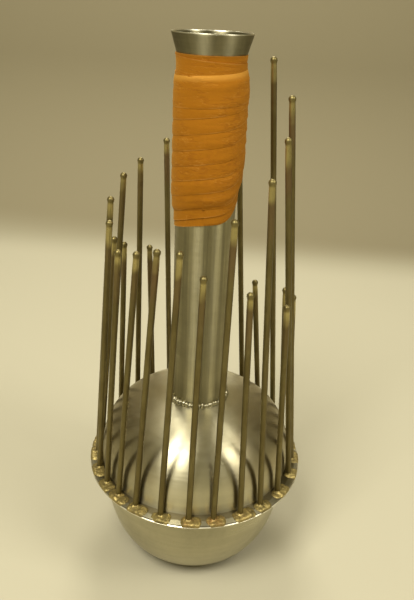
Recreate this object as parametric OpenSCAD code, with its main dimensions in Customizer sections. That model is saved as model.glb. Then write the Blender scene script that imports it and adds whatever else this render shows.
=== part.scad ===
// Water-filled friction instrument: a closed steel resonator with a flared
// neck, and bronze rods of many lengths brazed round its rim.
// Millimetres, +Z up the neck, origin at the middle of the flat it stands on.

/* [Resonator] */
// Height of the seam between the two pressed shells above the table
seam_z = 80; // [60:1:100]
// Outer radius of the dome's wall where it leaves its flange
dome_r = 75; // [60:1:95]
// Height of the dome's crown above the seam
dome_h = 59.5; // [45:0.5:75]
// How much smaller the bowl's wall is than the dome's, in radius
bowl_inset = 2; // [0:0.5:6]
// Radius of the flat that the bowl stands on
foot_r = 36; // [25:1:45]
// Thickness of the pressed steel sheet
sheet_t = 1; // [0.6:0.1:1.5]
// Radius of the bend between a wall and its flange
bend_r = 1.5; // [0.5:0.5:2.5]

/* [Rim] */
// Width of the dome's flange outside its wall
flange_w = 9.2; // [8.6:0.2:14]
// How far the bowl's flange reaches past the dome's
lip_w = 0.8; // [0.4:0.1:1.6]
// Height of the solder run along the edge of the seam
solder_h = 0.7; // [0.3:0.1:1]

/* [Neck] */
// Outer radius of the neck tube
neck_r = 20.65; // [16:0.05:25]
// Wall of the neck tube
neck_wall = 1.25; // [0.8:0.05:2]
// Height of the mouth above the seam
mouth_rise = 320; // [240:1:400]
// Height of the flared stretch under the mouth
flare_h = 17; // [12:1:30]
// How much the flare adds to the tube's radius
flare_gain = 5.2; // [2:0.2:9]
// How far the tube hangs inside the dome below its crown
neck_tuck = 5; // [3:0.5:12]
// Clearance round the tube where it passes through the dome
hole_gap = 0.15; // [0.05:0.05:0.3]
// Width and height of the weld bead round the foot of the neck
bead_w = 2.4; // [1.5:0.1:4.5]

/* [Grip] */
// Bare length left between the wrap and the mouth
wrap_drop = 12; // [8:1:40]
// Length of the wrap at the front of the neck
wrap_len = 105; // [60:1:160]
// Thickness of the wound tape over most of its length
wrap_t = 4.7; // [2:0.1:8]
// Thickness of the single turn at the top of the wrap
top_turn_t = 0.6; // [0.4:0.1:2]
// Height of that single turn
top_turn_h = 11; // [5:1:20]
// Height over which the winding builds up below it
shoulder_h = 18; // [10:1:30]
// Tilt of the wrap's lower edge, higher towards +X
wrap_slant = 14; // [0:1:20]
// Clearance between the wrap and the tube
wrap_gap = 0.3; // [0.1:0.1:0.5]

/* [Rods] */
// Radius of the bronze rods
rod_r = 2.2; // [1.5:0.1:2.5]
// Radius of the ball melted onto the tip of each rod
ball_r = 2.5; // [1.6:0.1:3]
// Distance from the dome's wall out to the axes of the rods
rod_set = 4; // [3.6:0.1:6]
// Height of the braze round the foot of a rod
braze_h = 2.8; // [1.5:0.1:4]
// How far the braze has run along the rim from its rod
braze_run = 4.5; // [2:0.5:7]

/* [Hidden] */
// Each rod: angle round the rim from the front towards +X, length from flange
// to tip, lean towards the neck, lean along the rim. Tuned by length and by
// hand, so neither the lengths nor the leans follow a rule.
RODS = [
    [-2, 188, 2, 1],
    [11, 223, 2, 1],
    [26, 175, 2.5, -0.5],
    [39, 244, 3, -1],
    [54, 157, 3, -0.5],
    [71, 263, 5.5, -1],
    [85, 286, 5.5, 0],
    [98, 140, 4, 0.5],
    [110, 139, 4, 1],
    [121, 305, 4.5, 2],
    [135, 133, 5, 3],
    [148, 250, 3.5, 3],
    [161, 145, 3, 2],
    [174, 200, 2.5, 1],
    [-174, 162, 2, 0.5],
    [-161, 241, 1.5, 2],
    [-149, 155, 1, 2],
    [-137, 228, 1.5, 0],
    [-122, 166, 2.5, 0],
    [-109, 224, 4, -1],
    [-97, 181, 4.5, -0.5],
    [-85, 215, 4, 0],
    [-71, 204, 3.5, 0.5],
    [-57, 190, 3.5, 1],
    [-45, 194, 4, 2],
    [-32, 200, 3.5, 2.5],
    [-17, 202, 2.5, 2]
];
// Exponents of the rounded crowns: higher is squarer
DOME_SIDE = 2.5;
DOME_CROWN = 2.8;
BOWL_SIDE = 2;
BOWL_CROWN = 2.35;
// Straight pieces in the profile of a crown, and facets of round pieces
CROWN_STEPS = 20;
BEND_STEP = 15;
ROUND = 96;
ROD_ROUND = 32;
// Clearance between a weld or braze and what it lies on
LAP = 0.05;

dome_rim_r = dome_r + flange_w;
bowl_rim_r = dome_rim_r + lip_w;
bowl_r = dome_r - bowl_inset;
flange_top = seam_z + sheet_t;
rod_circle_r = dome_r + rod_set;
// The braze fills the flat of the flange between the bend and the edge
braze_spread = (flange_w - bend_r) / 2 - LAP;
braze_circle_r = dome_rim_r - LAP - braze_spread;
mouth_z = seam_z + mouth_rise;
flare_z = mouth_z - flare_h;
neck_foot_z = seam_z + crown_z(neck_r) - neck_tuck;
wrap_top_z = mouth_z - wrap_drop;
wrap_foot_z = wrap_top_z - wrap_len;

function rod_name(i) = str("rod_", i < 10 ? "0" : "", i);

function backwards(points) = [for (i = [len(points) - 1:-1:0]) points[i]];

// Height of the dome's outer face above the seam at a given radius
function crown_z(r) =
    let (low = sheet_t + bend_r)
    low + (dome_h - low) * pow(1 - pow(r / dome_r, DOME_SIDE), 1 / DOME_CROWN);

// Outer radius of the neck tube at a height in its flare
function flare_r(z) = neck_r + flare_gain * max(0, z - flare_z) / flare_h;

// One face of a pressed shell, from the edge of its flange to its axis: skin
// is 0 for the outer face and the sheet's thickness for the inner one.
function shell_face(rim_r, wall_r, flat_r, height, side, crown, skin) =
    let (low = sheet_t + bend_r, bend = bend_r + skin, rise = height - low - skin)
    concat(
        [[rim_r, sheet_t - skin]],
        [for (a = [0:BEND_STEP:90]) [wall_r + bend_r - bend * sin(a), low - bend * cos(a)]],
        [for (i = [1:CROWN_STEPS])
            let (a = 90 * i / CROWN_STEPS)
            [flat_r + (wall_r - skin - flat_r) * pow(cos(a), 2 / side),
             low + rise * pow(sin(a), 2 / crown)]],
        flat_r > 0 ? [[0, height - skin]] : []
    );

// A pressed shell standing on its flange, crown up, with its seam face at z = 0
module pressed_shell(rim_r, wall_r, flat_r, height, side, crown) {
    outer = shell_face(rim_r, wall_r, flat_r, height, side, crown, 0);
    inner = shell_face(rim_r, wall_r, flat_r, height, side, crown, sheet_t);
    rotate_extrude($fn = ROUND)
        polygon(concat(outer, backwards(inner)));
}

module lower_bowl() {
    color("lightsteelblue")
    translate([0, 0, seam_z])
    mirror([0, 0, 1])
    pressed_shell(bowl_rim_r, bowl_r, foot_r, seam_z, BOWL_SIDE, BOWL_CROWN);
}

module upper_dome() {
    color("silver")
    translate([0, 0, seam_z])
    difference() {
        pressed_shell(dome_rim_r, dome_r, 0, dome_h, DOME_SIDE, DOME_CROWN);
        cylinder(h = dome_h + 1, r = neck_r + hole_gap, $fn = ROUND);
    }
}

// Solder run in the corner between the dome's edge and the bowl's flange
module rim_solder() {
    color("gray")
    translate([0, 0, seam_z])
    rotate_extrude($fn = ROUND)
        polygon([[dome_rim_r, 0], [bowl_rim_r - LAP, 0], [dome_rim_r, solder_h]]);
}

module neck_tube() {
    color("gainsboro")
    rotate_extrude($fn = ROUND)
        polygon([
            [neck_r - neck_wall, neck_foot_z],
            [neck_r, neck_foot_z],
            [neck_r, flare_z],
            [flare_r(mouth_z), mouth_z],
            [flare_r(mouth_z) - neck_wall, mouth_z],
            [neck_r - neck_wall, flare_z]
        ]);
}

// Weld bead in the corner between the neck and the dome
module neck_weld() {
    foot = crown_z(neck_r) + LAP;
    toe = crown_z(neck_r + bead_w) + LAP;
    color("darkgray")
    translate([0, 0, seam_z])
    rotate_extrude($fn = ROUND)
        polygon(concat(
            [[neck_r + LAP, foot]],
            [for (a = [0:BEND_STEP:90])
                [neck_r + LAP + bead_w * sin(a), toe + (foot - toe + bead_w) * cos(a)]]
        ));
}

// Tape wound round the neck: one turn at the top, many below it
module grip_wrap() {
    single_r = flare_r(wrap_top_z) + wrap_gap + top_turn_t;
    wound_r = neck_r + wrap_t;
    reach = 2 * wound_r;
    low_z = wrap_foot_z - reach * tan(wrap_slant);
    color("darkorange")
    intersection() {
        rotate_extrude($fn = ROUND)
            polygon([
                [neck_r + wrap_gap, low_z],
                [wound_r, low_z],
                [wound_r, wrap_top_z - top_turn_h - shoulder_h],
                [single_r + top_turn_t, wrap_top_z - top_turn_h],
                [single_r, wrap_top_z - top_turn_h],
                [single_r, wrap_top_z],
                [flare_r(wrap_top_z) + wrap_gap, wrap_top_z],
                [neck_r + wrap_gap, flare_z]
            ]);
        translate([0, 0, wrap_foot_z])
        rotate([0, -wrap_slant, 0])
        translate([-reach, -reach, 0])
        cube([2 * reach, 2 * reach, 2 * wrap_len]);
    }
}

// Stands what follows on the flange at a rod's place: +Y is towards the neck
module at_rim(angle, radius) {
    rotate([0, 0, angle])
    translate([0, -radius, flange_top])
    children();
}

// A rod's straight stem, carried below the flange so that it can be cut flush
module stem(rod, length) {
    at_rim(rod[0], rod_circle_r)
    rotate([-rod[2], rod[3], 0])
    translate([0, 0, -rod_r])
    cylinder(h = length + rod_r, r = rod_r, $fn = ROD_ROUND);
}

module bronze_rod(rod) {
    color("darkgoldenrod")
    difference() {
        union() {
            stem(rod, rod[1] - ball_r);
            at_rim(rod[0], rod_circle_r)
            rotate([-rod[2], rod[3], 0])
            translate([0, 0, rod[1] - ball_r])
            sphere(r = ball_r, $fn = ROD_ROUND);
        }
        translate([-bowl_rim_r, -bowl_rim_r, 0])
        cube([2 * bowl_rim_r, 2 * bowl_rim_r, flange_top]);
    }
}

// A puddle of braze: the part of a ball that stands above the flange
module puddle(angle, spread, height) {
    ball = (spread * spread + height * height) / (2 * height);
    at_rim(angle, braze_circle_r)
    translate([0, 0, height - ball])
    sphere(r = ball, $fn = ROD_ROUND);
}

// Braze round the foot of each rod, which has run along the rim on one side
module braze_fillets() {
    run_angle = braze_run / braze_circle_r * 180 / PI;
    for (rod = RODS) {
        color("goldenrod")
        difference() {
            union() {
                puddle(rod[0], braze_spread, braze_h);
                puddle(rod[0] + run_angle, braze_spread, braze_h * 0.7);
            }
            translate([-2 * bowl_rim_r, -2 * bowl_rim_r, flange_top - 4 * bowl_rim_r])
            cube(4 * bowl_rim_r);
            stem(rod, 4 * braze_h);
        }
    }
}

lower_bowl();
upper_dome();
rim_solder();
neck_tube();
neck_weld();
grip_wrap();
braze_fillets();
for (i = [1:len(RODS)])
    bronze_rod(RODS[i - 1]);
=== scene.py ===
"""Builds the shown surfaces of a water-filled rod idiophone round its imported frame."""
import math

import bmesh
import bpy
import numpy as np
from bpy.props import (FloatProperty, FloatVectorProperty, IntProperty,
                       PointerProperty)
from bpy.types import Operator, Panel, PropertyGroup
from mathutils import Matrix, Vector, noise


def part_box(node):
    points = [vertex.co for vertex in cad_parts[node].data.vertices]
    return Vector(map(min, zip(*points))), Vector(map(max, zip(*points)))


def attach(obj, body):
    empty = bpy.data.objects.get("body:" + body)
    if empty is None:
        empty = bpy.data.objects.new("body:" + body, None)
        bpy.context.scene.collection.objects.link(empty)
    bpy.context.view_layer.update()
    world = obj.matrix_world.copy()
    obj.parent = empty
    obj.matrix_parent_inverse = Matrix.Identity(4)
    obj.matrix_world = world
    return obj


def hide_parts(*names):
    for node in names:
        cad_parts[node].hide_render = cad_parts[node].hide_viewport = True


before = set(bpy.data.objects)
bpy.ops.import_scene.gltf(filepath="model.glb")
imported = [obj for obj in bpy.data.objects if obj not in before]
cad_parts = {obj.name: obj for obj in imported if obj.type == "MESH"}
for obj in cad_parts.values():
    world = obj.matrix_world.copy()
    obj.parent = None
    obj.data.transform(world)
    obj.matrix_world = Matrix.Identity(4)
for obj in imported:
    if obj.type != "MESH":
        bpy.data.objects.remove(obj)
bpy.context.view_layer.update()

bl_info = {
    "name": "Water-filled rod idiophone",
    "version": (1, 0, 0),
    "blender": (4, 5, 0),
    "location": "3D View > Sidebar > Idiophone",
    "description": "Pressed steel bowl and dome, taped neck and brazed bronze rods",
    "category": "Add Mesh",
}

MM = 0.001
BOWL_LOW, BOWL_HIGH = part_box("lower_bowl")
DOME_LOW, DOME_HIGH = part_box("upper_dome")
NECK_LOW, NECK_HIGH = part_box("neck_tube")
WRAP_LOW, WRAP_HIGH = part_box("grip_wrap")
RODS = sorted(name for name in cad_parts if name.startswith("rod_"))


# ---------------------------------------------------------------- settings

def length_input(name, about, value):
    return FloatProperty(name=name, description=about, default=value, unit="LENGTH", precision=5)


def colour_input(name, about, value):
    return FloatVectorProperty(name=name, description=about, default=value,
                               subtype="COLOR", size=3, min=0.0, max=1.0)


class ShellSizes(PropertyGroup):
    sheet: length_input("Sheet", "Thickness of the pressed steel", 1.0 * MM)
    bend: length_input("Bend", "Inside radius where a wall meets its flange", 1.5 * MM)
    dome_wall: length_input("Dome wall", "Outer radius of the dome", 75 * MM)
    dome_rise: length_input("Dome rise", "Height of the dome with its hole filled", 59.5 * MM)
    bowl_wall: length_input("Bowl wall", "Outer radius of the bowl", 73 * MM)
    foot: length_input("Foot", "Radius of the flat under the bowl", 36 * MM)
    dent: length_input("Dents", "Unevenness left in the sheet by pressing", 0.13 * MM)


class NeckSizes(PropertyGroup):
    outer: length_input("Tube", "Outer radius of the neck below its flare", 20.65 * MM)
    wall: length_input("Wall", "Thickness of the tube", 1.25 * MM)
    flare: length_input("Flare", "Height of the flared mouth", 17 * MM)
    bead: length_input("Weld", "Size of the weld bead at the neck's foot", 3.3 * MM)
    lumps: IntProperty(name="Weld ripples", description="Puddles in the weld bead",
                       default=58, min=12, max=90)


class RodSizes(PropertyGroup):
    ball: length_input("Ball", "Radius of the ball melted on a rod's tip", 2.5 * MM)
    pinch: FloatProperty(name="Pinch", description="How far a rod thins under its ball",
                         default=0.06, min=0.0, max=0.4)
    rise: length_input("Braze height", "Height of the braze round a rod's foot", 2.7 * MM)
    run: length_input("Braze run", "Half length of a braze pool along the rim", 7.9 * MM)
    drift: length_input("Braze drift", "How far a pool lies to one side of its rod", 2.2 * MM)


class TapeSizes(PropertyGroup):
    width: length_input("Tape width", "Width of the cloth tape", 19 * MM)
    thickness: length_input("Tape thickness", "Thickness of one turn", 0.50 * MM)
    wrinkle: length_input("Wrinkles", "Height of the creases in the outer turns", 0.24 * MM)
    collar: length_input("Collar", "How far the top turn shows over the ridge", 11 * MM)
    cuff: length_input("Cuff", "How far the foot turn shows under the next", 11 * MM)
    lean: length_input("Lean", "How far the ridge leans up towards +X", 1.6 * MM)


class Finishes(PropertyGroup):
    steel: colour_input("Steel", "Satin stainless sheet", (0.58, 0.535, 0.365))
    neck: colour_input("Neck steel", "Satin tube", (0.445, 0.403, 0.243))
    solder: colour_input("Solder", "Dull solder in the seam", (0.25, 0.22, 0.15))
    bronze: colour_input("Bronze", "Bright bronze near a rod's tip", (0.47, 0.39, 0.155))
    patina: colour_input("Patina", "Aged bronze of a rod's stem", (0.155, 0.121, 0.043))
    plum: colour_input("Plum", "Heat flush under a rod's bright tip", (0.215, 0.135, 0.068))
    braze: colour_input("Braze", "Golden braze at the rim", (0.42, 0.330, 0.120))
    tint: colour_input("Heat tint", "Straw and plum tint beside the welds", (0.42, 0.215, 0.060))
    tape: colour_input("Tape", "Orange cloth tape", (0.390, 0.146, 0.0047))
    # Darker orange for speckle in the tape and for painted shade in its folds and creases.
    tape_shade_and_soil: colour_input("Tape creases", "Orange darkened for soil and for painted crease shade", (0.28, 0.090, 0.004))
    floor: colour_input("Floor", "Pale floor", (0.515, 0.482, 0.358))
    wall: colour_input("Backdrop", "Backdrop behind the object", (0.275, 0.240, 0.152))


class StageSizes(PropertyGroup):
    camera_place: FloatVectorProperty(name="Camera", description="Where the camera stands",
                                      default=(-0.0008, -0.4191, 0.4182), size=3,
                                      subtype="TRANSLATION", precision=4)
    pitch: FloatProperty(name="Pitch", description="How far the camera looks down",
                         default=math.radians(25.48), subtype="ANGLE")
    yaw: FloatProperty(name="Yaw", description="How far the camera looks towards +X",
                       default=math.radians(0.665), subtype="ANGLE")
    roll: FloatProperty(name="Roll", description="How far the camera leans",
                        default=math.radians(2.7), subtype="ANGLE")
    lens: FloatProperty(name="Lens", description="Focal length in millimetres",
                        default=37.92, min=10, max=200)
    lamp: FloatProperty(name="Lamps", description="Strength of the soft lamps in watts",
                        default=8.8, min=0.0)


class IdiophoneSettings(PropertyGroup):
    shell: PointerProperty(type=ShellSizes, name="Shells", description="Bowl and dome")
    neck: PointerProperty(type=NeckSizes, name="Neck", description="Neck tube and its weld")
    rod: PointerProperty(type=RodSizes, name="Rods", description="Bronze rods and braze")
    tape: PointerProperty(type=TapeSizes, name="Tape", description="Tape round the neck")
    finish: PointerProperty(type=Finishes, name="Finishes", description="Colours")
    stage: PointerProperty(type=StageSizes, name="Stage", description="Camera and lamps")


def settings():
    return bpy.context.scene.idiophone


# ---------------------------------------------------------------- node trees

class Wiring:
    """Adds nodes to a tree and joins their sockets."""

    def __init__(self, tree):
        self.tree = tree

    def put(self, node, values):
        """Links or sets the given inputs of a node."""
        for key, value in values.items():
            if isinstance(value, bpy.types.NodeSocket):
                self.tree.links.new(value, node.inputs[key])
            else:
                node.inputs[key].default_value = value
        return node

    def add(self, kind, values=None, **fields):
        node = self.tree.nodes.new(kind)
        for field, value in fields.items():
            setattr(node, field, value)
        return self.put(node, values or {})

    def math(self, operation, *values, clamp=False):
        node = self.add("ShaderNodeMath", dict(enumerate(values)),
                        operation=operation, use_clamp=clamp)
        return node.outputs[0]

    def times(self, first, second, clamp=False):
        return self.math("MULTIPLY", first, second, clamp=clamp)

    def plus(self, first, second):
        return self.math("ADD", first, second)

    def minus(self, first, second, clamp=False):
        return self.math("SUBTRACT", first, second, clamp=clamp)

    def vector(self, operation, *values):
        node = self.add("ShaderNodeVectorMath", dict(enumerate(values)), operation=operation)
        return node.outputs["Value" if operation in ("LENGTH", "DOT_PRODUCT") else "Vector"]

    def stretch(self, vector, *shares):
        return self.vector("MULTIPLY", vector, shares)

    def split(self, vector):
        return self.add("ShaderNodeSeparateXYZ", {0: vector}).outputs

    def combine(self, **parts):
        return self.add("ShaderNodeCombineXYZ", parts).outputs[0]

    def attribute(self, name):
        return self.add("ShaderNodeAttribute", attribute_name=name).outputs["Fac"]

    def bump(self, strength, distance, height):
        return self.add("ShaderNodeBump", {"Strength": strength, "Distance": distance,
                                           "Height": height}).outputs[0]

    def group(self, name, build, values):
        tree = shared_group(name, build)
        return self.add("ShaderNodeGroup", values, node_tree=tree).outputs

    def noise(self, vector, scale, detail=2.0, roughness=0.5):
        node = self.add("ShaderNodeTexNoise", {"Vector": vector, "Scale": scale,
                                               "Detail": detail, "Roughness": roughness})
        return node.outputs[0]

    def fit(self, value, low, high, to_low=0.0, to_high=1.0, smooth=True):
        node = self.add("ShaderNodeMapRange",
                        {0: value, 1: low, 2: high, 3: to_low, 4: to_high},
                        interpolation_type="SMOOTHSTEP" if smooth else "LINEAR")
        return node.outputs[0]

    def blend(self, share, first, second, kind="MIX"):
        node = self.add("ShaderNodeMix", {0: share, 6: first, 7: second},
                        data_type="RGBA", blend_type=kind)
        return node.outputs[2]


def rgba(colour, gain=1.0):
    return tuple(min(1.0, channel * gain) for channel in colour) + (1.0,)


def new_tree(name, kind, inputs, outputs):
    tree = bpy.data.node_groups.new(name, kind)
    for label, socket, value in inputs:
        item = tree.interface.new_socket(label, in_out="INPUT", socket_type=socket)
        if value is not None:
            item.default_value = value
    for label, socket in outputs:
        tree.interface.new_socket(label, in_out="OUTPUT", socket_type=socket)
    wiring = Wiring(tree)
    entry = wiring.add("NodeGroupInput")
    leave = wiring.add("NodeGroupOutput")
    return tree, wiring, entry.outputs, leave


def close_tree(wiring, leave, geometry, finish):
    """Ends a geometry tree: real mesh, smooth faces and one material."""
    real = wiring.add("GeometryNodeRealizeInstances", {"Geometry": geometry})
    smooth = wiring.add("GeometryNodeSetShadeSmooth", {"Geometry": real.outputs[0]})
    done = wiring.add("GeometryNodeSetMaterial", {"Geometry": smooth.outputs[0],
                                                  "Material": finish})
    wiring.tree.links.new(done.outputs[0], leave.inputs[0])


MERGE_GAP = 0.002 * MM
PINCH_REACH = 4.5 * MM
PUDDLE_LEAN = 0.55
PUDDLE_SHIFT = (0.48 * MM, 0.48 * MM, 0.50 * MM)
PUDDLE_LEAST = (0.48, 0.40, 0.50)
PUDDLE_MOST = (0.84, 0.86, 1.00)


def spun_shell_tree():
    """Turns the outline in the modifier's mesh round the axis."""
    tree, w, entry, leave = new_tree("Spun shell", "GeometryNodeTree", [
        ("Outline", "NodeSocketGeometry", None),
        ("Segments", "NodeSocketInt", 192),
        ("Dent depth", "NodeSocketFloat", 0.0),
        ("Dent size", "NodeSocketFloat", 0.03),
        ("Finish", "NodeSocketMaterial", None),
    ], [("Shell", "NodeSocketGeometry")])
    size = w.add("GeometryNodeAttributeDomainSize", {"Geometry": entry["Outline"]})
    rows = size.outputs["Point Count"]
    grid = w.add("GeometryNodeMeshGrid", {
        "Size X": 1.0, "Size Y": 1.0,
        "Vertices X": w.plus(entry["Segments"], 1), "Vertices Y": rows})
    index = w.add("GeometryNodeInputIndex").outputs[0]
    row = w.math("MODULO", index, rows)
    column = w.math("FLOOR", w.math("DIVIDE", w.plus(index, 0.5), rows))
    place = w.add("GeometryNodeInputPosition").outputs[0]
    sample = w.add("GeometryNodeSampleIndex", {"Geometry": entry["Outline"], "Index": row},
                   data_type="FLOAT_VECTOR", domain="POINT")
    value = next(s for s in sample.inputs if s.name == "Value" and s.enabled)
    tree.links.new(place, value)
    found = next(s for s in sample.outputs if s.enabled)
    turn = w.times(w.math("DIVIDE", column, entry["Segments"]), math.tau)
    turned = w.add("ShaderNodeVectorRotate", {"Vector": found, "Angle": turn},
                   rotation_type="Z_AXIS")
    dent = w.noise(turned.outputs[0], w.math("DIVIDE", 1.0, entry["Dent size"]), 1.0)
    push = w.times(w.minus(dent, 0.5), entry["Dent depth"])
    out = w.vector("NORMALIZE", turned.outputs[0])
    push_by = w.add("ShaderNodeVectorMath", {0: out, "Scale": push}, operation="SCALE")
    moved = w.add("GeometryNodeSetPosition", {
        "Geometry": grid.outputs["Mesh"], "Position": turned.outputs[0],
        "Offset": push_by.outputs[0]})
    merged = w.add("GeometryNodeMergeByDistance", {"Geometry": moved.outputs[0],
                                                   "Distance": MERGE_GAP})
    close_tree(w, leave, merged.outputs[0], entry["Finish"])
    return tree


def ball_rod_tree():
    """A straight rod from foot to tip, with a melted ball and a pinch below it."""
    tree, w, entry, leave = new_tree("Ball-tipped rod", "GeometryNodeTree", [
        ("Geometry", "NodeSocketGeometry", None),
        ("Foot", "NodeSocketVector", None),
        ("Tip", "NodeSocketVector", None),
        ("Radius", "NodeSocketFloat", 0.002),
        ("Ball", "NodeSocketFloat", 0.0024),
        ("Pinch", "NodeSocketFloat", 0.1),
        ("Rings", "NodeSocketInt", 46),
        ("Sides", "NodeSocketInt", 20),
        ("Number", "NodeSocketFloat", 0.0),
        ("Finish", "NodeSocketMaterial", None),
    ], [("Rod", "NodeSocketGeometry")])
    line = w.add("GeometryNodeMeshLine", {"Count": entry["Rings"]}, mode="OFFSET")
    index = w.add("GeometryNodeInputIndex").outputs[0]
    share = w.math("DIVIDE", index, w.minus(entry["Rings"], 1))
    eased = w.math("POWER", share, 3.0)
    span = w.vector("SUBTRACT", entry["Foot"], entry["Tip"])
    length = w.vector("LENGTH", span)
    drop = w.times(eased, length)
    place = w.add("ShaderNodeVectorMath", {0: span, 1: eased, 2: entry["Tip"]},
                  operation="MULTIPLY_ADD")
    moved = w.add("GeometryNodeSetPosition", {"Geometry": line.outputs[0],
                                              "Position": place.outputs[0]})
    marked = w.add("GeometryNodeStoreNamedAttribute",
                   {"Geometry": moved.outputs[0], "Name": "from_tip", "Value": drop},
                   data_type="FLOAT", domain="POINT")
    numbered = w.add("GeometryNodeStoreNamedAttribute",
                     {"Geometry": marked.outputs[0], "Name": "rod_number",
                      "Value": entry["Number"]}, data_type="FLOAT", domain="POINT")
    off = w.minus(drop, entry["Ball"])
    left = w.minus(w.math("POWER", entry["Ball"], 2.0), w.times(off, off))
    ball = w.math("SQRT", w.math("MAXIMUM", left, 0.0))
    below = w.math("DIVIDE", w.minus(off, entry["Ball"]), PINCH_REACH)
    fade = w.math("EXPONENT", w.times(w.times(below, below), -1.0))
    stem = w.times(entry["Radius"], w.minus(1.0, w.times(entry["Pinch"], fade)))
    stem_here = w.times(stem, w.math("GREATER_THAN", off, 0.0))
    radius = w.math("MAXIMUM", ball, stem_here)
    curve = w.add("GeometryNodeMeshToCurve", {"Mesh": numbered.outputs[0]})
    wide = w.add("GeometryNodeSetCurveRadius", {"Curve": curve.outputs[0], "Radius": radius})
    ring = w.add("GeometryNodeCurvePrimitiveCircle",
                 {"Resolution": entry["Sides"], "Radius": 1.0}, mode="RADIUS")
    skin = w.add("GeometryNodeCurveToMesh", {"Curve": wide.outputs[0],
                                             "Profile Curve": ring.outputs[0],
                                             "Fill Caps": True})
    if "Scale" in skin.inputs:
        tree.links.new(radius, skin.inputs["Scale"])
    merged = w.add("GeometryNodeMergeByDistance", {"Geometry": skin.outputs[0],
                                                   "Distance": MERGE_GAP})
    close_tree(w, leave, merged.outputs[0], entry["Finish"])
    return tree


def weld_bead_tree():
    """Overlapping puddles of weld metal laid round a circle."""
    tree, w, entry, leave = new_tree("Weld bead", "GeometryNodeTree", [
        ("Geometry", "NodeSocketGeometry", None),
        ("Circle", "NodeSocketFloat", 0.021),
        ("Height", "NodeSocketFloat", 0.139),
        ("Puddles", "NodeSocketInt", 44),
        ("Size", "NodeSocketFloat", 0.0024),
        ("Seed", "NodeSocketInt", 4),
        ("Finish", "NodeSocketMaterial", None),
    ], [("Bead", "NodeSocketGeometry")])
    circle = w.add("GeometryNodeMeshCircle", {"Vertices": entry["Puddles"],
                                              "Radius": entry["Circle"]})
    lift = w.combine(Z=entry["Height"])
    jitter = w.add("FunctionNodeRandomValue", {
        0: tuple(-shift for shift in PUDDLE_SHIFT), 1: PUDDLE_SHIFT, "Seed": entry["Seed"]},
                   data_type="FLOAT_VECTOR")
    shift = w.vector("ADD", lift, jitter.outputs[0])
    raised = w.add("GeometryNodeSetPosition", {"Geometry": circle.outputs[0], "Offset": shift})
    blob = w.add("GeometryNodeMeshIcoSphere", {"Radius": 1.0, "Subdivisions": 3})
    index = w.add("GeometryNodeInputIndex").outputs[0]
    turn = w.times(w.math("DIVIDE", index, entry["Puddles"]), math.tau)
    facing = w.combine(Y=PUDDLE_LEAN, Z=turn)
    rotation = w.add("FunctionNodeEulerToRotation", {0: facing})
    spread = w.add("FunctionNodeRandomValue", {
        0: PUDDLE_LEAST, 1: PUDDLE_MOST, "Seed": w.plus(entry["Seed"], 7)},
                   data_type="FLOAT_VECTOR")
    scale = w.add("ShaderNodeVectorMath", {0: spread.outputs[0], "Scale": entry["Size"]},
                  operation="SCALE")
    laid = w.add("GeometryNodeInstanceOnPoints", {
        "Points": raised.outputs[0], "Instance": blob.outputs[0],
        "Rotation": rotation.outputs[0], "Scale": scale.outputs[0]})
    real = w.add("GeometryNodeRealizeInstances", {"Geometry": laid.outputs[0]})
    loop = w.add("GeometryNodeCurvePrimitiveCircle",
                 {"Resolution": 120, "Radius": entry["Circle"]}, mode="RADIUS")
    section = w.add("GeometryNodeCurvePrimitiveCircle", {
        "Resolution": 12, "Radius": w.times(entry["Size"], 0.50)}, mode="RADIUS")
    core = w.add("GeometryNodeCurveToMesh", {"Curve": loop.outputs[0],
                                             "Profile Curve": section.outputs[0]})
    lifted = w.add("GeometryNodeSetPosition", {"Geometry": core.outputs[0], "Offset": lift})
    both = w.add("GeometryNodeJoinGeometry")
    tree.links.new(lifted.outputs[0], both.inputs[0])
    tree.links.new(real.outputs[0], both.inputs[0])
    close_tree(w, leave, both.outputs[0], entry["Finish"])
    return tree


def new_object(name, data):
    item = bpy.data.objects.new(name, data)
    bpy.context.scene.collection.objects.link(item)
    return item


def run_tree(name, tree, start, values):
    """Runs a geometry tree over a start mesh and returns the plain result."""
    holder = new_object(name + "_start", start)
    modifier = holder.modifiers.new("Shape", "NODES")
    modifier.node_group = tree
    sockets = {item.name: item.identifier for item in tree.interface.items_tree
               if item.item_type == "SOCKET" and item.in_out == "INPUT"}
    for label, value in values.items():
        modifier[sockets[label]] = value
    holder.update_tag()
    bpy.context.view_layer.update()
    graph = bpy.context.evaluated_depsgraph_get()
    mesh = bpy.data.meshes.new_from_object(holder.evaluated_get(graph), depsgraph=graph)
    bpy.data.objects.remove(holder)
    if not mesh.polygons:
        raise RuntimeError(name + " came out empty")
    return mesh


def face_out(mesh):
    """Turns every loose shell of the mesh so that its faces point outwards."""
    work = bmesh.new()
    work.from_mesh(mesh)
    bmesh.ops.recalc_face_normals(work, faces=work.faces)
    if work.calc_volume(signed=True) < 0:
        bmesh.ops.reverse_faces(work, faces=work.faces)
    work.to_mesh(mesh)
    work.free()


def add_piece(name, mesh, finish, slot, nodes, crease=math.radians(38)):
    """Puts a finished mesh in the scene in place of its CAD nodes."""
    face_out(mesh)
    mesh.name = name
    mesh.materials.clear()
    mesh.materials.append(finish)
    mesh.shade_smooth()
    mesh.set_sharp_from_angle(angle=crease)
    piece = new_object(name, mesh)
    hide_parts(*nodes)
    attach(piece, "root")
    return piece


def store(mesh, label, values):
    """Stores a number at each of the mesh's points."""
    mark = mesh.attributes.new(label, "FLOAT", "POINT")
    mark.data.foreach_set("value", values.reshape(-1))


def outline_mesh(name, points):
    """An edge-only mesh of (radius, height) points."""
    mesh = bpy.data.meshes.new(name + "_outline")
    mesh.from_pydata([(r, 0.0, z) for r, z in points],
                     [(i, i + 1) for i in range(len(points) - 1)], [])
    return mesh


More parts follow.
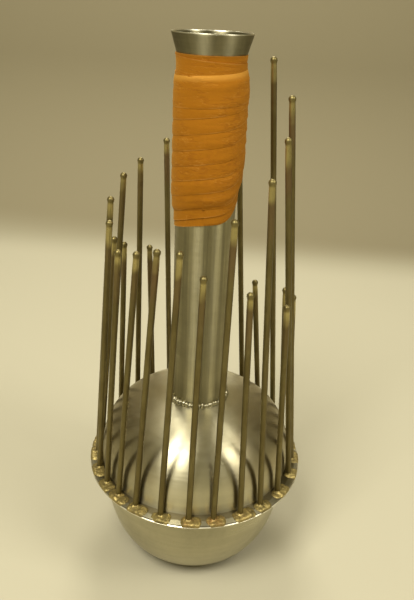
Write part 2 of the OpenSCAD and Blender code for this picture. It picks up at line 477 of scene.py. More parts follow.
def grid_mesh(name, points, around=False, over=False):
    """A mesh from a grid of points, closed round and over where asked."""
    rows, columns = points.shape[:2]
    mesh = bpy.data.meshes.new(name)
    faces = []
    for i in range(rows if around else rows - 1):
        for j in range(columns if over else columns - 1):
            k = (i + 1) % rows
            m = (j + 1) % columns
            faces.append((i * columns + j, k * columns + j, k * columns + m, i * columns + m))
    if over and not around:
        faces.append(tuple(range(columns)))
        faces.append(tuple((rows - 1) * columns + j for j in reversed(range(columns))))
    mesh.from_pydata(points.reshape(-1, 3).tolist(), [], faces)
    return mesh


# ---------------------------------------------------------------- materials

def spun_lines_group():
    """Fine rings left round the axis by spinning and polishing."""
    tree, w, entry, leave = new_tree("Spun lines", "ShaderNodeTree", [
        ("Vector", "NodeSocketVector", None),
        ("Fineness", "NodeSocketFloat", 900.0),
        ("Length", "NodeSocketFloat", 14.0),
    ], [("Lines", "NodeSocketFloat"), ("Bands", "NodeSocketFloat")])
    parts = w.split(entry["Vector"])
    radius = w.math("SQRT", w.plus(w.times(parts[0], parts[0]), w.times(parts[1], parts[1])))
    across = w.times(w.plus(radius, parts[2]), entry["Fineness"])
    long_x = w.times(parts[0], entry["Length"])
    long_y = w.times(parts[1], entry["Length"])
    fine = w.noise(w.combine(X=long_x, Y=long_y, Z=across), 1.0, 3.0, 0.6)
    wide = w.times(across, 0.14)
    broad = w.noise(w.combine(X=long_x, Y=long_y, Z=wide), 1.0, 1.0)
    tree.links.new(w.fit(fine, 0.3, 0.7), leave.inputs["Lines"])
    tree.links.new(w.fit(broad, 0.35, 0.65), leave.inputs["Bands"])
    return tree


def handling_group():
    """Smudges and dull patches from handling and drying water."""
    tree, w, entry, leave = new_tree("Handling marks", "ShaderNodeTree", [
        ("Vector", "NodeSocketVector", None),
        ("Scale", "NodeSocketFloat", 30.0),
        ("Colour", "NodeSocketColor", (0.5, 0.5, 0.5, 1.0)),
        ("Soiled", "NodeSocketColor", (0.3, 0.3, 0.2, 1.0)),
        ("Amount", "NodeSocketFloat", 0.3),
    ], [("Colour", "NodeSocketColor"), ("Dull", "NodeSocketFloat")])
    cloud = w.noise(entry["Vector"], entry["Scale"], 5.0, 0.6)
    spots = w.noise(entry["Vector"], w.times(entry["Scale"], 9.0), 3.0, 0.7)
    dull = w.times(w.fit(cloud, 0.38, 0.68), w.fit(spots, 0.25, 0.75, 0.55, 1.0))
    share = w.times(dull, entry["Amount"])
    tree.links.new(w.blend(share, entry["Colour"], entry["Soiled"]), leave.inputs["Colour"])
    tree.links.new(dull, leave.inputs["Dull"])
    return tree


def shared_group(name, build):
    return bpy.data.node_groups.get(name) or build()


def new_material(name):
    material = bpy.data.materials.new(name)
    material.use_nodes = True
    tree = material.node_tree
    shader = next(node for node in tree.nodes if node.type == "BSDF_PRINCIPLED")
    w = Wiring(tree)
    return material, w, shader, w.add("ShaderNodeTexCoord").outputs["Object"]


def handling_marks(w, place, scale, colour, soiled, amount):
    return w.group("Handling marks", handling_group, {
        "Vector": place, "Scale": scale, "Colour": rgba(colour), "Soiled": soiled,
        "Amount": amount})


def satin_steel(name, colour, roughness, anisotropy, fineness, darker_rougher_span, drawn=0.0,
                corner=None, wear_and_highlight=None):
    """Spun and rub-polished stainless sheet, darker and rougher between two heights."""
    material, w, shader, place = new_material(name)
    lines = w.group("Spun lines", spun_lines_group, {
        "Vector": place, "Fineness": fineness, "Length": 14.0})
    marks = handling_marks(w, place, 26.0, colour, rgba(colour, 0.62), 0.45)
    tone = w.blend(w.times(lines["Bands"], 0.22), marks["Colour"], rgba(colour, 0.72))
    height = w.split(place)[2]
    wander = w.times(w.noise(place, 90.0, 3.0), 0.006)
    # Darker and rougher between two given heights; the darkening is painted shade at the dome's
    # foot and a painted reflection of the dark floor at the bowl's foot.
    near = w.fit(w.plus(height, wander), *darker_rougher_span)
    tone = w.blend(w.times(near, 0.6), tone, rgba(colour, 0.5))
    rough = w.plus(w.plus(roughness, w.times(lines["Lines"], 0.08)), w.times(marks["Dull"], 0.10))
    rough = w.plus(rough, w.times(near, 0.18))
    drawn_at = w.stretch(place, 1.0, 1.0, 0.03)
    draws = w.fit(w.noise(drawn_at, 800.0, 3.0, 0.6), 0.35, 0.7)
    tone = w.blend(w.times(draws, drawn), tone, rgba(colour, 0.55))
    stripe = w.fit(w.noise(w.stretch(place, 1.0, 1.0, 0.02), 190.0, 2.0), 0.42, 0.60)
    tone = w.blend(w.times(stripe, 1.3 * drawn), tone, rgba(colour, 0.50))
    relief = w.plus(lines["Lines"], w.times(draws, drawn))
    axis = w.vector("LENGTH", w.stretch(place, 1.0, 1.0, 0.0))
    if corner is not None:
        # Darker and rougher round the bend where the dome meets its flange: partly grime, partly
        # painted shade in the corner.
        spot = w.combine(X=axis, Y=height)
        away = w.stretch(w.vector("SUBTRACT", spot, corner), 1.0, 2.0, 0.0)
        away = w.vector("LENGTH", away)
        away = w.minus(away, w.times(w.noise(place, 260.0, 3.0), 0.0016))
        grime_and_shade = w.fit(away, 0.0018, 0.0034, 0.82, 0.0)
        tone = w.blend(grime_and_shade, tone, (colour[0] * 0.33, colour[1] * 0.29, colour[2] * 0.20, 1.0))
        rough = w.plus(rough, w.times(grime_and_shade, 0.25))
        # Darker on the upper dome towards +X and -X, its left and right shoulders: painted shade.
        across = w.math("ABSOLUTE", w.split(place)[0])
        across = w.plus(across, w.times(w.noise(place, 60.0, 3.0), 0.016))
        side_shade = w.times(w.fit(across, 0.026, 0.046), w.fit(height, 0.092, 0.108))
        tone = w.blend(w.times(side_shade, 0.45), tone,
                       (colour[0] * 0.55, colour[1] * 0.47, colour[2] * 0.36, 1.0))
    # Lighter edge band at the bowl's rim and the neck's lip: partly rubbed wear, partly painted
    # highlight so the edge shows as a bright line; its roughness changes too.
    if wear_and_highlight is not None:
        along, start, roughened = wear_and_highlight
        rubbed_and_lit = w.fit(axis if along == "RADIUS" else height, start, start + 0.0004)
        tone = w.blend(w.times(rubbed_and_lit, 0.85), tone, (0.93, 0.89, 0.72, 1.0))
        rough = w.plus(rough, w.times(rubbed_and_lit, roughened))
    bump = w.bump(0.25, 0.00003, relief)
    w.put(shader, {"Base Color": tone, "Roughness": rough, "Normal": bump, "Metallic": 1.0,
                   "Anisotropic": anisotropy, "Anisotropic Rotation": 0.25})
    return material


def weld_metal(name, colour, tint, roughness, toe=-1.0):
    """Rippled weld metal, dark where its toe meets the sheet."""
    material, w, shader, place = new_material(name)
    marks = handling_marks(w, place, 170.0, colour, rgba(tint), 1.0)
    grain = w.noise(place, 2600.0, 3.0)
    lumps = w.noise(place, 620.0, 2.0)
    height = w.plus(w.times(grain, 0.35), lumps)
    bump = w.bump(0.5, 0.0002, height)
    rough = w.plus(roughness, w.times(marks["Dull"], 0.22))
    level = w.split(place)[2]
    shade = w.fit(level, toe + 0.0001, toe + 0.0012, 0.9, 0.0)
    tone = w.blend(shade, marks["Colour"], rgba(tint, 0.25))
    w.put(shader, {"Base Color": tone, "Roughness": rough, "Normal": bump, "Metallic": 1.0})
    return material


def aged_bronze(name, bright, patina, plum):
    """Bronze rod: bright under the melted ball, brown patina down the stem."""
    material, w, shader, place = new_material(name)
    drop = w.attribute("from_tip")
    number = w.attribute("rod_number")
    moved = w.vector("ADD", place, w.combine(X=w.times(number, 0.37), Z=number))
    wander = w.noise(moved, 55.0, 2.0)
    edge = w.plus(drop, w.times(w.minus(wander, 0.5), 0.030))
    clean = w.fit(edge, 0.007, 0.018, 1.0, 0.0)
    ball = w.fit(drop, 0.0035, 0.0060, 0.84, 0.0)
    clean = w.minus(clean, ball, clamp=True)
    streaks = w.fit(w.noise(w.stretch(moved, 1.0, 1.0, 0.10), 900.0, 3.0, 0.6), 0.35, 0.75)
    clouds = w.fit(w.noise(moved, 32.0, 5.0, 0.65), 0.35, 0.7)
    stem = w.blend(w.times(clouds, 0.55), rgba(patina), rgba(bright, 0.52))
    stem = w.blend(w.times(streaks, 0.30), stem, rgba(patina, 0.45))
    flush = w.times(w.fit(edge, 0.009, 0.016), w.fit(edge, 0.022, 0.044, 1.0, 0.0))
    own = w.fit(w.noise(w.combine(X=number), 3.7, 1.0), 0.35, 0.65, 0.05, 0.62)
    stem = w.blend(w.times(flush, own), stem, rgba(plum))
    tone = w.blend(clean, stem, rgba(bright))
    rough = w.plus(w.fit(clean, 0.0, 1.0, 0.42, 0.27), w.times(streaks, 0.12))
    bump = w.bump(0.35, 0.00006, streaks)
    w.put(shader, {"Base Color": tone, "Roughness": rough, "Normal": bump, "Metallic": 0.86})
    return material


def golden_braze(name, colour, tint):
    """Brazing alloy that has run along the rim."""
    material, w, shader, place = new_material(name)
    heat = w.attribute("heat_tint")
    marks = handling_marks(w, place, 240.0, colour, rgba(colour, 0.28), 1.0)
    patchy = w.fit(w.noise(place, 220.0, 3.0), 0.35, 0.65, 0.25, 0.80)
    tone = w.blend(w.times(heat, patchy, clamp=True), marks["Colour"], rgba(tint, 0.70))
    grain = w.noise(place, 900.0, 4.0, 0.6)
    bump = w.bump(0.6, 0.0003, grain)
    rough = w.plus(0.40, w.times(marks["Dull"], 0.24))
    w.put(shader, {"Base Color": tone, "Roughness": rough, "Normal": bump, "Metallic": 0.70})
    return material


def cloth_tape(name, colour, dark):
    """Matt woven tape; its own map is metres along and across the strip."""
    material, w, shader, place = new_material(name)
    flat = w.add("ShaderNodeUVMap", uv_map="UVMap").outputs[0]
    parts = w.split(flat)
    threads = []
    for axis, pitch in ((0, 0.00055), (1, 0.00048)):
        wave = w.math("SINE", w.times(parts[axis], math.tau / pitch))
        threads.append(w.math("ABSOLUTE", wave))
    weave = w.times(threads[0], threads[1])
    crease = w.attribute("crease")
    cloud = w.fit(w.noise(place, 60.0, 5.0, 0.6), 0.35, 0.7)
    fine = w.noise(w.stretch(place, 0.35, 0.35, 1.6), 620.0, 4.0, 0.65)
    tone = w.blend(w.times(cloud, 0.30), rgba(colour), rgba(colour, 0.80))
    tone = w.blend(w.times(w.fit(fine, 0.42, 0.66), 0.25), tone, rgba(dark, 1.3))
    long_fold = w.noise(w.stretch(place, 0.16, 0.16, 1.0), 330.0, 3.0, 0.6)
    fold_gap = w.math("ABSOLUTE", w.minus(long_fold, 0.5))
    patch = w.fit(w.noise(place, 48.0, 1.0), 0.42, 0.60)
    fold = w.times(w.fit(fold_gap, 0.0, 0.030, 1.0, 0.0), patch)
    lit_gap = w.math("ABSOLUTE", w.minus(long_fold, 0.56))
    lit = w.times(w.fit(lit_gap, 0.0, 0.014, 1.0, 0.0), patch)
    # Darker along the long folds: painted shade in the folds.
    tone = w.blend(w.times(fold, 0.50), tone, rgba(dark))
    tone = w.blend(w.times(lit, 0.22), tone, (0.75, 0.38, 0.09, 1.0))
    # Darker in the creases of the outer turns: painted shade.
    tone = w.blend(w.times(crease, 0.85), tone, rgba(dark))
    # Lighter along the top edge of the last turns: painted highlight on the ridge.
    rubbed_and_lit = w.attribute("rubbed_and_lit")
    tone = w.blend(w.times(rubbed_and_lit, 0.42), tone, (0.78, 0.40, 0.07, 1.0))
    # Lighter in patches along the strip's edges: painted highlight where the turns' edges catch
    # the light.
    edge = w.fit(w.math("ABSOLUTE", parts[1]), 0.0086, 0.0093)
    wear_and_highlight = w.fit(w.noise(place, 70.0, 3.0), 0.40, 0.62)
    tone = w.blend(w.times(w.times(edge, wear_and_highlight), 0.22), tone, (0.72, 0.38, 0.11, 1.0))
    height = w.plus(w.times(weave, 0.25), fine)
    height = w.minus(height, w.times(fold, 0.9))
    bump = w.bump(0.35, 0.00025, height)
    rough = w.fit(weave, 0.0, 1.0, 0.86, 0.72)
    w.put(shader, {"Base Color": tone, "Roughness": rough, "Normal": bump,
                   "Sheen Weight": 0.22, "Sheen Tint": (1.0, 0.62, 0.15, 1.0),
                   "Sheen Roughness": 0.5, "Specular IOR Level": 0.15})
    return material


def plain_sweep(name, floor, wall):
    """Floor and backdrop paint, darker up the backdrop."""
    material, w, shader, place = new_material(name)
    depth = w.vector("DOT_PRODUCT", place, (0.103, 1.0, 0.0))
    tone = w.blend(w.fit(depth, 0.58, 0.78), rgba(floor), rgba(wall))
    speck = w.noise(place, 500.0, 2.0)
    tone = w.blend(w.times(speck, 0.05), tone, rgba(wall))
    w.put(shader, {"Base Color": tone, "Roughness": 0.9, "Specular IOR Level": 0.1})
    return material


# ---------------------------------------------------------------- outlines

DOME_POWERS = (2.5, 2.8)
BOWL_POWERS = (2.0, 2.35)
CROWN_STEPS = 64
BEND_STEPS = 8
EDGE = 0.4 * MM


def shell_face(wall, flat, height, powers, skin, size):
    """One face of a pressed shell from its flange to its crown, crown up."""
    side, crown = powers
    low = size.sheet + size.bend
    bend = size.bend + skin
    points = []
    for i in range(BEND_STEPS + 1):
        a = math.pi / 2 * i / BEND_STEPS
        points.append((wall + size.bend - bend * math.sin(a), low - bend * math.cos(a)))
    for i in range(1, CROWN_STEPS + 1):
        a = math.pi / 2 * i / CROWN_STEPS
        radius = flat + (wall - skin - flat) * max(0.0, math.cos(a)) ** (2 / side)
        points.append((radius, low + (height - low - skin) * math.sin(a) ** (2 / crown)))
    if flat > 0:
        for share in (0.6, 0.3, 0.0):
            points.append((flat * share, height - skin))
    return points


def shell_outline(rim, wall, flat, height, powers, size, hole=0.0, rubbed_and_lit=0.0):
    """Both faces of a shell as one outline, cut off at the hole's radius."""
    outer = shell_face(wall, flat, height, powers, 0.0, size)
    inner = shell_face(wall, flat, height, powers, size.sheet, size)
    if hole > 0:
        outer = cut_at(outer, hole)
        inner = cut_at(inner, hole)
    half = size.sheet / 2
    edge = [(rim - EDGE + EDGE * math.cos(a), half + half * math.sin(a))
            for a in np.linspace(-math.pi / 2, math.pi / 2, 9)]
    if rubbed_and_lit > 0:
        edge = [(rim - rubbed_and_lit, 0.0), (rim, 0.84 * rubbed_and_lit), (rim, 0.85 * size.sheet),
                (rim - 0.15 * MM, size.sheet)]
    return inner[::-1] + edge + outer


def cut_at(points, hole):
    """The points of a face outside the hole, ending on its edge."""
    kept = [p for p in points if p[0] > hole]
    after = points[len(kept)]
    before = kept[-1]
    share = (before[0] - hole) / (before[0] - after[0])
    return kept + [(hole, before[1] + share * (after[1] - before[1]))]


def crown_height(radius, size):
    """Height of the dome's outer face over the seam at a radius."""
    side, crown = DOME_POWERS
    low = size.sheet + size.bend
    rest = 1 - (radius / size.dome_wall) ** side
    return low + (size.dome_rise - low) * rest ** (1 / crown)


def flare_radius(height, size):
    """Outer radius of the neck at a height."""
    start = NECK_HIGH.z - size.flare
    share = max(0.0, height - start) / size.flare
    return size.outer + (NECK_HIGH.x - size.outer) * share


# ---------------------------------------------------------------- operators

def spin(name, points, finish, segments, dent, spacing):
    """The mesh of an outline turned round the axis, with dents of a depth and spacing."""
    tree = shared_group("Spun shell", spun_shell_tree)
    return run_tree(name, tree, outline_mesh(name, points), {
        "Segments": segments, "Dent depth": dent, "Dent size": spacing, "Finish": finish})


class IDIOPHONE_OT_shells(Operator):
    """Make the pressed bowl and dome and the solder in their seam"""
    bl_idname = "idiophone.shells"
    bl_label = "Bowl and dome"

    def execute(self, context):
        s = settings()
        size = s.shell
        seam = BOWL_HIGH.z
        # From 0.094 down to 0.083 the dome darkens towards its foot: painted shade in the corner
        # above the flange.
        steel = satin_steel("Satin dome steel", s.finish.steel, 0.30, 0.85, 1500.0,
                            (0.094, 0.083),
                            corner=(size.dome_wall + size.bend, seam + size.sheet, 0.0))
        # The bowl's steel is the dome's colour darkened by 0.86: painted shade on the lower shell.
        # From 0.024 down to 0.004 it darkens further towards the foot: painted reflection of the
        # dark floor under it.
        shaded_bowl_steel = satin_steel("Shaded satin bowl steel", [c * 0.86 for c in s.finish.steel], 0.26,
                                 0.6, 1500.0, (0.024, 0.004),
                                 wear_and_highlight=("RADIUS", BOWL_HIGH.x - 0.9 * MM, 0.10))
        bowl = shell_outline(BOWL_HIGH.x, size.bowl_wall, size.foot, seam, BOWL_POWERS, size,
                             rubbed_and_lit=0.6 * MM)
        bowl = [(r, seam - z) for r, z in bowl]
        dome = shell_outline(DOME_HIGH.x, size.dome_wall, 0.0, size.dome_rise, DOME_POWERS,
                             size, s.neck.outer + 0.15 * MM)
        dome = [(r, seam + z) for r, z in dome]
        dome.append(dome[0])
        for name, points, finish in (("lower_bowl", bowl, shaded_bowl_steel),
                                     ("upper_dome", dome, steel)):
            mesh = spin(name, points, finish, 240, size.dent, 0.022)
            add_piece(name + "_skin", mesh, finish, name.split("_")[1] + "_steel", [name])
        low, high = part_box("rim_solder")
        inner = DOME_HIGH.x - 0.3 * MM
        lap = high.x - 0.5 * MM
        ring = [(inner, low.z), (lap, low.z), (lap - 0.10 * MM, low.z + 0.35 * MM),
                (inner + 0.35 * MM, high.z), (inner, high.z), (inner, low.z)]
        dull = weld_metal("Seam solder", s.finish.solder, [c * 0.5 for c in s.finish.solder], 0.5)
        mesh = spin("solder", ring, dull, 360, 0.25 * MM, 0.004)
        add_piece("rim_solder_run", mesh, dull, "solder", ["rim_solder"])
        return {"FINISHED"}


class IDIOPHONE_OT_neck(Operator):
    """Make the flared neck tube and the weld at its foot"""
    bl_idname = "idiophone.neck"
    bl_label = "Neck and weld"

    def execute(self, context):
        s = settings()
        size = s.neck
        steel = satin_steel("Satin neck steel", s.finish.neck, 0.30, 0.92, 1100.0,
                            (0.384, 0.394), 0.35, wear_and_highlight=("HEIGHT", NECK_HIGH.z - 0.8 * MM, -0.06))
        low, high = NECK_LOW.z, NECK_HIGH.z
        flare = high - size.flare
        wall = size.wall
        mouth = NECK_HIGH.x
        lip = 0.35 * MM
        heights = np.linspace(low, flare, 40)
        outer = [(size.outer, z) for z in heights]
        for share in np.linspace(0, 1, 12)[1:]:
            z = flare + (high - lip - flare) * share
            outer.append((flare_radius(z, size), z))
        top = [(mouth - lip * 0.6, high), (mouth - wall + lip * 0.6, high)]
        inner = [(mouth - wall - 0.1 * MM, high - lip)]
        for share in np.linspace(1, 0, 12)[1:]:
            z = flare + (high - lip - flare) * share
            inner.append((flare_radius(z, size) - wall, z))
        inner += [(size.outer - wall, z) for z in heights[::-1][1:]]
        points = outer + top + inner + [outer[0]]
        mesh = spin("neck", points, steel, 160, 0.06 * MM, 0.03)
        add_piece("neck_tube_skin", mesh, steel, "neck_steel", ["neck_tube"])
        foot = BOWL_HIGH.z + crown_height(size.outer + 0.5 * size.bead, s.shell)
        weld = weld_metal("Neck weld", s.finish.steel,
                          [c * 0.4 for c in s.finish.steel], 0.26, foot - 0.5 * MM)
        mesh = run_tree("weld", weld_bead_tree(), bpy.data.meshes.new("weld_start"), {
            "Circle": size.outer + 0.35 * size.bead, "Height": foot + 0.28 * size.bead,
            "Puddles": size.lumps, "Size": size.bead, "Seed": 4, "Finish": weld})
        add_piece("neck_weld_bead", mesh, weld, "weld_steel", ["neck_weld"])
        return {"FINISHED"}


def rod_ends(name):
    """Foot, tip and radius of a CAD rod, from the axis of its own mesh."""
    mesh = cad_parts[name].data
    points = np.empty(len(mesh.vertices) * 3)
    mesh.vertices.foreach_get("co", points)
    points = np.unique(points.reshape(-1, 3).round(7), axis=0)
    high = points[points[:, 2].argmax()]
    foot_ring = points[points[:, 2] < points[:, 2].min() + 0.0005]
    foot = foot_ring.mean(axis=0)
    top_band = points[points[:, 2] > high[2] - 0.0012]
    tip = top_band.mean(axis=0)
    tip[2] = high[2]
    radius = np.linalg.norm((foot_ring - foot)[:, :2], axis=1).min()
    return Vector(foot), Vector(tip), float(radius)


class IDIOPHONE_OT_rods(Operator):
    """Make the ball-tipped bronze rods"""
    bl_idname = "idiophone.rods"
    bl_label = "Bronze rods"

    def execute(self, context):
        s = settings()
        tree = shared_group("Ball-tipped rod", ball_rod_tree)
        bronze = aged_bronze("Aged bronze", s.finish.bronze, s.finish.patina, s.finish.plum)
        for number, name in enumerate(RODS):
            foot, tip, radius = rod_ends(name)
            mesh = run_tree(name, tree, bpy.data.meshes.new(name + "_start"), {
                "Foot": foot, "Tip": tip, "Radius": radius, "Ball": s.rod.ball,
                "Pinch": s.rod.pinch, "Rings": 46, "Sides": 20,
                "Number": float(number), "Finish": bronze})
            add_piece(name + "_bronze", mesh, bronze, "rod_bronze", [name], math.radians(60))
        return {"FINISHED"}


BRAZE_STEPS = 1500
BRAZE_SINK = 0.45 * MM
BRAZE_DEPTH = 0.75 * MM
POOL_RISE = 1.4 * MM
HEAT_REACH = 8 * MM
FOOT_REACH = 24 * MM
RED_FEET = (0.7, 1.0)


def braze_track(s):
    """(radius, height, lean) from beside the dome, over its rim and down the seam."""
    seam = BOWL_HIGH.z
    top = seam + s.shell.sheet
    dome_rim = DOME_HIGH.x
    bowl_rim = BOWL_HIGH.x
    flat = s.shell.dome_wall + s.shell.bend
    inside = [(r, top, 0.0) for r in np.linspace(flat - 0.6 * MM, dome_rim - 0.5 * MM, 14)]
    return inside + [
        (dome_rim - 0.1 * MM, top - 0.1 * MM, 0.7), (dome_rim, top - 0.6 * MM, 1.2),
        (dome_rim + 0.3 * MM, seam + 0.1 * MM, 0.9),
        (bowl_rim - 0.2 * MM, seam - 0.05 * MM, 0.7),
        (bowl_rim - 0.05 * MM, seam - 0.5 * MM, 1.4)]


def pool_at(places, number, spot, radius, size):
    """How high one rod's braze stands at each place, and how red it is there."""
    gap = places - spot
    around = np.linalg.norm(gap, axis=1)
    collar = size.rise * np.exp(-np.maximum(around - radius, 0) / (1.15 * MM))
    wobble = noise.noise(Vector((number * 3.1, 0.5, 0.2)))
    length = size.run * (1 + 0.35 * wobble)
    drift = size.drift * (1 + 0.8 * noise.noise(Vector((number * 5.3, 2.5, 0))))
    base = spot / np.linalg.norm(spot)
    side = np.array([-base[1], base[0]])
    slide = (gap @ side - drift) / length
    deep = (np.linalg.norm(places, axis=1) - (DOME_HIGH.x - 3.6 * MM)) / (5.4 * MM)
    rough = noise.noise(Vector((places[5][0] * 260, places[5][1] * 260, number)))
    room = 1 - np.abs(slide) ** 2.4 - np.abs(deep) ** 3 + 0.55 * rough
    pool = POOL_RISE * np.sqrt(np.maximum(room, 0)) - BRAZE_SINK * (room <= 0)
    hot = RED_FEET[number] if number < len(RED_FEET) else 0.1 + 0.4 * wobble
    return np.maximum(pool, collar - BRAZE_SINK), hot * np.exp(-(around / HEAT_REACH) ** 2)


class IDIOPHONE_OT_braze(Operator):
    """Make the braze that has run along the rim from each rod"""
    bl_idname = "idiophone.braze"
    bl_label = "Braze"

    def execute(self, context):
        s = settings()
        size = s.rod
        track = braze_track(s)
        count = len(track)
        feet = [rod_ends(name) for name in RODS]
        radii = np.array([t[:2] for t in track])[:, :1]
        fall = np.minimum(np.array([t[2] for t in track]), 1.35)
        grid = np.empty((BRAZE_STEPS, 2 * count, 3))
        heat = np.zeros((BRAZE_STEPS, 2 * count))
        for i, turn in enumerate(np.linspace(0, math.tau, BRAZE_STEPS, endpoint=False)):
            out = np.array([math.sin(turn), -math.cos(turn)])
            places = radii * out
            lift = np.full(count, -BRAZE_SINK)
            for number, (foot, _, radius) in enumerate(feet):
                spot = np.array([foot.x, foot.y])
                if np.linalg.norm(places[0] - spot) > FOOT_REACH:
                    continue
                stands, red = pool_at(places, number, spot, radius, size)
                lift = np.maximum(lift, stands)
                heat[i, :count] = np.maximum(heat[i, :count], red)
            lumps = np.array([noise.noise(Vector((p[0] * 560, p[1] * 560, 4.0))) for p in places])
            lift = np.where(lift > 0, lift * (1 + 0.34 * lumps), lift)
            lift = np.minimum(lift, size.rise)
            for j, (r, z, _) in enumerate(track):
                ring = min(r + lift[j] * math.sin(fall[j]), BOWL_HIGH.x)
                low = r - BRAZE_DEPTH * math.sin(fall[j])
                grid[i, j] = (*out * ring, z + lift[j] * math.cos(fall[j]))
                grid[i, 2 * count - 1 - j] = (*out * low, z - BRAZE_DEPTH * math.cos(fall[j]))
        mesh = grid_mesh("braze", grid, around=True, over=True)
        store(mesh, "heat_tint", heat)
        gold = golden_braze("Golden braze", s.finish.braze, s.finish.tint)
        add_piece("braze_pools", mesh, gold, "braze", ["braze_fillets"], math.radians(75))
        return {"FINISHED"}


CUFF_TURNS = 1.4
SHOWN_STEPS = 150
HIDDEN_STEPS = 40
FOOT_TILT = ((-180, 6), (-135, -3), (-90, -7.5), (-50, -4), (-20, -1), (0, 0), (35, 1), (56, 5),
             (72, 11), (90, 16), (120, 18), (150, 14))


def foot_tilt():
    """Height of the tape's lower edge at each degree round the neck, smoothed."""
    degrees = np.arange(-180, 180)
    lift = np.interp(degrees, [a for a, _ in FOOT_TILT], [h * MM for _, h in FOOT_TILT],
                     period=360)
    window = np.hanning(33)
    window /= window.sum()
    return np.convolve(np.concatenate([lift[-16:], lift, lift[:16]]), window, mode="valid")


def winding_plan(size):
    """(turn, height of the strip's middle) along the tape, and the bare turns' ends."""
    half = size.width / 2
    top = WRAP_HIGH.z - half
    foot = WRAP_LOW.z + WRAP_HIGH.x * math.tan(math.radians(14)) + half
    ridge = top - size.collar
    second = foot + size.cuff
    steps = [(0.0, foot), (CUFF_TURNS, foot)]
    steps.append((steps[-1][0] + (top - foot) / half, top))
    steps.append((steps[-1][0] + 1.2, top))
    steps.append((steps[-1][0] + (top - second) / half, second))
    visible = steps[-1][0]
    steps.append((visible + 1.3, second))
    steps.append((steps[-1][0] + (ridge - second) / half, ridge))
    steps.append((math.floor(steps[-1][0]) + 1.5, ridge))
    return steps, visible


def crumple(angle, height, size):
    """Lift and crease of the outer tape at a place."""
    fold = abs(noise.noise(Vector((angle * 4.2, height * 520, 0.0))))
    swell = noise.noise(Vector((angle * 2.0 + 9, height * 190, 3.0)))
    zone = math.exp(-((height - (WRAP_LOW.z + 38 * MM)) / (22 * MM)) ** 2)
    amount = size.wrinkle * (0.22 + 0.78 * zone)
    lift = amount * (0.45 * max(0.0, 1 - fold * 2.2) + 0.25 * swell) - 0.1 * MM
    return lift, max(0.0, -0.1 + 1.1 * fold) * zone


def map_strip(mesh, run, offsets):
    """Gives the strip its own map: metres along it and across it."""
    across = np.concatenate([offsets, offsets[::-1]])
    where = np.empty(len(mesh.loops), dtype=int)
    mesh.loops.foreach_get("vertex_index", where)
    flat = np.stack([np.array(run)[where // len(across)], across[where % len(across)]], axis=1)
    mesh.uv_layers.new(name="UVMap").data.foreach_set("uv", flat.reshape(-1))


